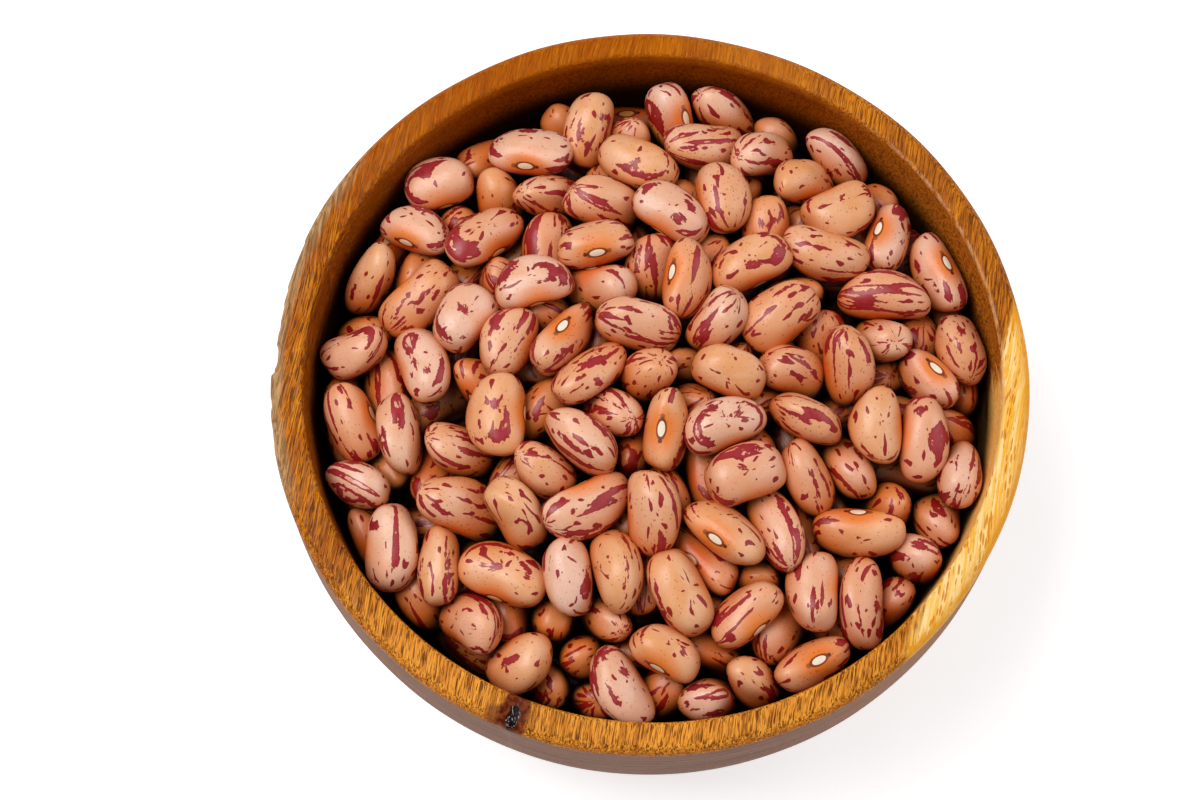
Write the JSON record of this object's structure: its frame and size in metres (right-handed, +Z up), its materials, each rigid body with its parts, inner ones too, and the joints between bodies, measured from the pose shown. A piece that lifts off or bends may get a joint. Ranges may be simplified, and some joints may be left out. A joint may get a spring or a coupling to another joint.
{
  "type": "bowl of dried beans",
  "caption": "Round turned wooden bowl filled with a low domed heap of dried kidney-shaped beans, streaked and speckled, loose and overlapping, with room below the rim.",
  "frame": {"origin": "middle of the bowl's flat foot, on the surface that it stands on", "axes": "+Z up, the bowl's turning axis; -Y towards the side with the knot in the rim, which is the near side in the picture"},
  "size_m": [0.14, 0.14, 0.0653],
  "materials": {
    "wood": "oiled turned hardwood, golden brown with pale sapwood on one side",
    "beans": "dry bean skins, satin, tan pink with burgundy streaks and speckles"
  },
  "bodies": {
    "root": {"bowl": "wood", "bean_heap": "beans"}
  },
  "joints": []
}
